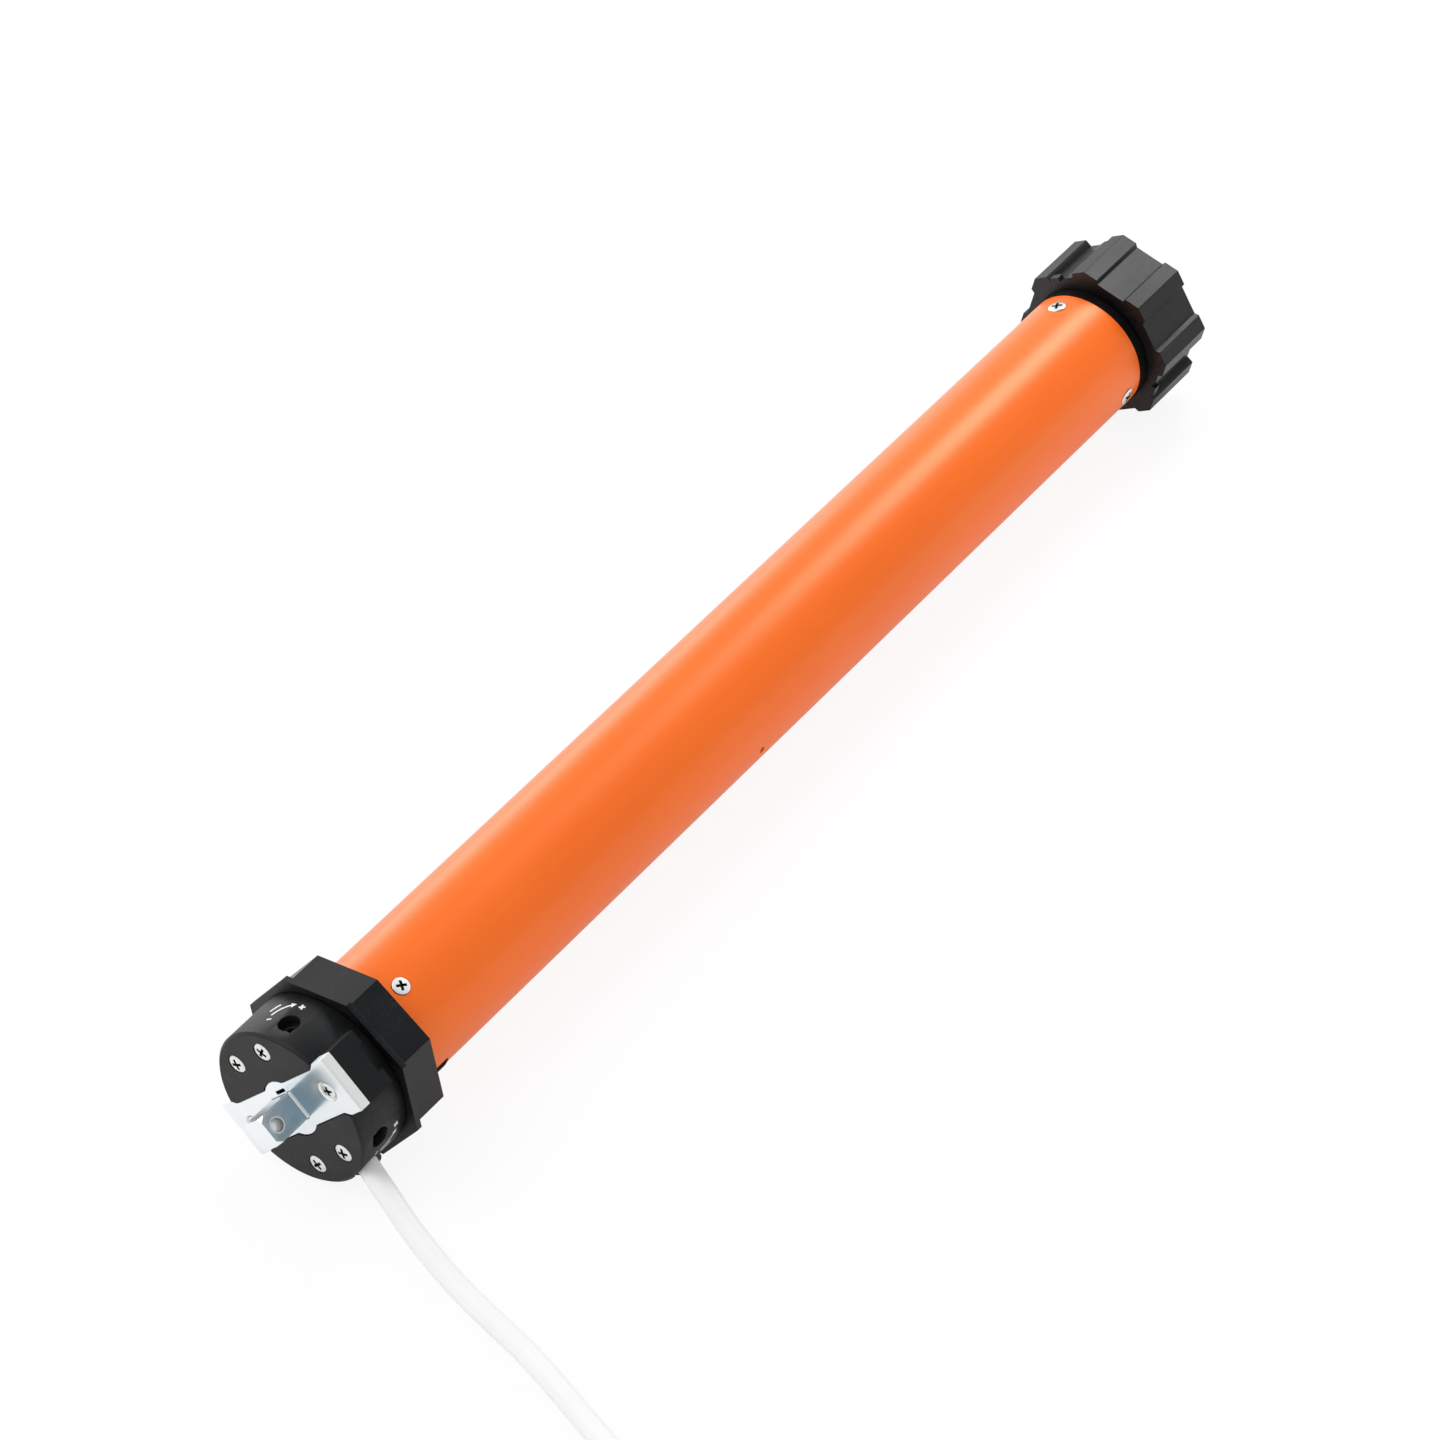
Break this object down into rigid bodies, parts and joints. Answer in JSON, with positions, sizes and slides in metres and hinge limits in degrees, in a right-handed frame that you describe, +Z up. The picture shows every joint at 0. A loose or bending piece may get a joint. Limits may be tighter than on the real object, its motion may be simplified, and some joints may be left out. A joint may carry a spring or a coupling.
{
  "type": "tubular roller blind motor",
  "caption": "Slim tubular motor for a roller blind: round motor tube, head with square mounting pin and limit screws, free crown ring, planetary gearbox and eight-sided drive wheel.",
  "frame": {"origin": "on the axis of the tube, at the outer face of the mounting plate, where the square pin begins", "axes": "+X runs along the axis from the head to the drive wheel, -X is the way the square pin points, +Z is up as the motor lies on a table"},
  "size_m": [0.6262, 0.2885, 0.0604],
  "materials": {
    "tube_orange": "orange powder coat on a steel tube",
    "black_plastic": "black moulded plastic, fine satin",
    "body_plastic": "black moulded plastic inside the tube",
    "zinc": "bright zinc plating",
    "pin_steel": "blue-grey zinc plating",
    "screw_nickel": "nickel-plated cross-recess screws",
    "limit_plastic": "natural moulded plastic",
    "switch_plastic": "black switch case",
    "limit_screw_plastic": "dark grey plastic",
    "can_aluminium": "drawn aluminium can",
    "bell_aluminium": "die-cast aluminium",
    "bush_bronze": "sintered bronze",
    "stator_steel": "stacked electrical steel",
    "winding_copper": "enamelled copper wire",
    "shaft_steel": "machined steel",
    "gear_plastic": "moulded gear plastic",
    "grommet_rubber": "black rubber",
    "cord_white": "white cord sheath",
    "tie_white": "white cable tie",
    "core_copper": "stripped wire ends"
  },
  "bodies": {
    "frame": {"motor_tube": "tube_orange", "head_cap": "black_plastic", "head_body": "body_plastic", "gearbox_flange": "body_plastic", "capacitor_cradle": "body_plastic", "mounting_plate": "zinc", "square_pin": "pin_steel", "plate_screws": "screw_nickel", "head_screws": "screw_nickel", "tube_screws_head": "screw_nickel", "tube_screws_drive": "screw_nickel", "limit_frame": "limit_plastic", "terminal_block": "limit_plastic", "limit_switch_up": "switch_plastic", "limit_switch_down": "switch_plastic", "capacitor": "can_aluminium", "rear_end_bell": "bell_aluminium", "front_end_bell": "bell_aluminium", "rear_bush": "bush_bronze", "front_bush": "bush_bronze", "output_bush": "bush_bronze", "stator_core": "stator_steel", "stator_windings": "winding_copper", "ring_gear": "shaft_steel", "gearbox_plate": "gear_plastic", "cable_grommet": "grommet_rubber", "cord_run": "cord_white", "cord_coil": "cord_white", "cord_ties": "tie_white", "cord_cores": "core_copper"},
    "crown": {"crown_ring": "black_plastic"},
    "spindle_up": {"limit_spindle_up": "limit_plastic"},
    "spindle_down": {"limit_spindle_down": "limit_plastic"},
    "nut_up": {"limit_nut_up": "limit_plastic"},
    "nut_down": {"limit_nut_down": "limit_plastic"},
    "screw_up": {"limit_screw_up": "limit_screw_plastic"},
    "screw_down": {"limit_screw_down": "limit_screw_plastic"},
    "rotor": {"rotor_core": "stator_steel", "rotor_shaft": "shaft_steel", "sun_gear_1": "shaft_steel", "brake_disc": "shaft_steel"},
    "brake": {"brake_plate": "shaft_steel", "brake_spring": "shaft_steel"},
    "stage_1": {"carrier_1": "shaft_steel"},
    "stage_2": {"carrier_2": "shaft_steel"},
    "output": {"output_carrier": "shaft_steel", "drive_wheel": "black_plastic", "wheel_clip": "shaft_steel"},
    "planet_1a": {"planet_1a": "gear_plastic"},
    "planet_1b": {"planet_1b": "gear_plastic"},
    "planet_1c": {"planet_1c": "gear_plastic"},
    "planet_2a": {"planet_2a": "gear_plastic"},
    "planet_2b": {"planet_2b": "gear_plastic"},
    "planet_2c": {"planet_2c": "gear_plastic"},
    "planet_3a": {"planet_3a": "gear_plastic"},
    "planet_3b": {"planet_3b": "gear_plastic"},
    "planet_3c": {"planet_3c": "gear_plastic"}
  },
  "joints": [
    {"name": "drive_spin", "type": "hinge", "parent": "frame", "child": "output", "pos_m": [0.445, 0, 0], "axis": [1, 0, 0], "continuous": true},
    {"name": "stage_2_spin", "type": "hinge", "parent": "frame", "child": "stage_2", "pos_m": [0.3804, 0, 0], "axis": [1, 0, 0], "continuous": true},
    {"name": "stage_1_spin", "type": "hinge", "parent": "frame", "child": "stage_1", "pos_m": [0.3664, 0, 0], "axis": [1, 0, 0], "continuous": true},
    {"name": "rotor_spin", "type": "hinge", "parent": "frame", "child": "rotor", "pos_m": [0.2844, 0, 0], "axis": [1, 0, 0], "continuous": true},
    {"name": "planet_3a_spin", "type": "hinge", "parent": "output", "child": "planet_3a", "pos_m": [0.3894, 0, 0.01167], "axis": [1, 0, 0], "continuous": true},
    {"name": "planet_3b_spin", "type": "hinge", "parent": "output", "child": "planet_3b", "pos_m": [0.3894, -0.01011, -0.00583], "axis": [1, 0, 0], "continuous": true},
    {"name": "planet_3c_spin", "type": "hinge", "parent": "output", "child": "planet_3c", "pos_m": [0.3894, 0.01011, -0.00583], "axis": [1, 0, 0], "continuous": true},
    {"name": "planet_2a_spin", "type": "hinge", "parent": "stage_2", "child": "planet_2a", "pos_m": [0.3734, 0, 0.01167], "axis": [1, 0, 0], "continuous": true},
    {"name": "planet_2b_spin", "type": "hinge", "parent": "stage_2", "child": "planet_2b", "pos_m": [0.3734, -0.01011, -0.00583], "axis": [1, 0, 0], "continuous": true},
    {"name": "planet_2c_spin", "type": "hinge", "parent": "stage_2", "child": "planet_2c", "pos_m": [0.3734, 0.01011, -0.00583], "axis": [1, 0, 0], "continuous": true},
    {"name": "planet_1a_spin", "type": "hinge", "parent": "stage_1", "child": "planet_1a", "pos_m": [0.3584, 0, 0.01167], "axis": [1, 0, 0], "continuous": true},
    {"name": "planet_1b_spin", "type": "hinge", "parent": "stage_1", "child": "planet_1b", "pos_m": [0.3584, -0.01011, -0.00583], "axis": [1, 0, 0], "continuous": true},
    {"name": "planet_1c_spin", "type": "hinge", "parent": "stage_1", "child": "planet_1c", "pos_m": [0.3584, 0.01011, -0.00583], "axis": [1, 0, 0], "continuous": true},
    {"name": "crown_spin", "type": "hinge", "parent": "frame", "child": "crown", "pos_m": [0.0275, 0, 0], "axis": [1, 0, 0], "range_deg": [-1800, 1800]},
    {"name": "spindle_up_spin", "type": "hinge", "parent": "frame", "child": "spindle_up", "pos_m": [0.07, 0, 0.01598], "axis": [1, 0, 0], "range_deg": [-5410, 5410]},
    {"name": "nut_up_slide", "type": "slide", "parent": "frame", "child": "nut_up", "axis": [1, 0, 0], "range_m": [-0.0151, 0.0151]},
    {"name": "screw_up_turn", "type": "hinge", "parent": "frame", "child": "screw_up", "pos_m": [0.0076, 0, 0.018], "axis": [0, 0, 1], "continuous": true},
    {"name": "spindle_down_spin", "type": "hinge", "parent": "frame", "child": "spindle_down", "pos_m": [0.07, -0.01563, -0.00332], "axis": [1, 0, 0], "range_deg": [-5410, 5410]},
    {"name": "nut_down_slide", "type": "slide", "parent": "frame", "child": "nut_down", "axis": [1, 0, 0], "range_m": [-0.0151, 0.0151]},
    {"name": "screw_down_turn", "type": "hinge", "parent": "frame", "child": "screw_down", "pos_m": [0.0076, -0.01761, -0.00374], "axis": [0, -0.9781, -0.2079], "continuous": true},
    {"name": "brake_release", "type": "slide", "parent": "frame", "child": "brake", "axis": [-1, 0, 0], "range_m": [0, 0.0006], "stiffness_N_per_m": 8000, "springref_m": -0.001}
  ],
  "couplings": [
    {"joint": "stage_2_spin", "follows": "drive_spin", "ratio": 4},
    {"joint": "stage_1_spin", "follows": "drive_spin", "ratio": 16},
    {"joint": "rotor_spin", "follows": "drive_spin", "ratio": 64},
    {"joint": "planet_3a_spin", "follows": "drive_spin", "ratio": -3},
    {"joint": "planet_3b_spin", "follows": "drive_spin", "ratio": -3},
    {"joint": "planet_3c_spin", "follows": "drive_spin", "ratio": -3},
    {"joint": "planet_2a_spin", "follows": "drive_spin", "ratio": -12},
    {"joint": "planet_2b_spin", "follows": "drive_spin", "ratio": -12},
    {"joint": "planet_2c_spin", "follows": "drive_spin", "ratio": -12},
    {"joint": "planet_1a_spin", "follows": "drive_spin", "ratio": -48},
    {"joint": "planet_1b_spin", "follows": "drive_spin", "ratio": -48},
    {"joint": "planet_1c_spin", "follows": "drive_spin", "ratio": -48},
    {"joint": "spindle_up_spin", "follows": "crown_spin", "ratio": 3},
    {"joint": "nut_up_slide", "follows": "crown_spin", "m_per_rad": -0.00047746},
    {"joint": "spindle_down_spin", "follows": "crown_spin", "ratio": 3},
    {"joint": "nut_down_slide", "follows": "crown_spin", "m_per_rad": -0.00047746}
  ]
}
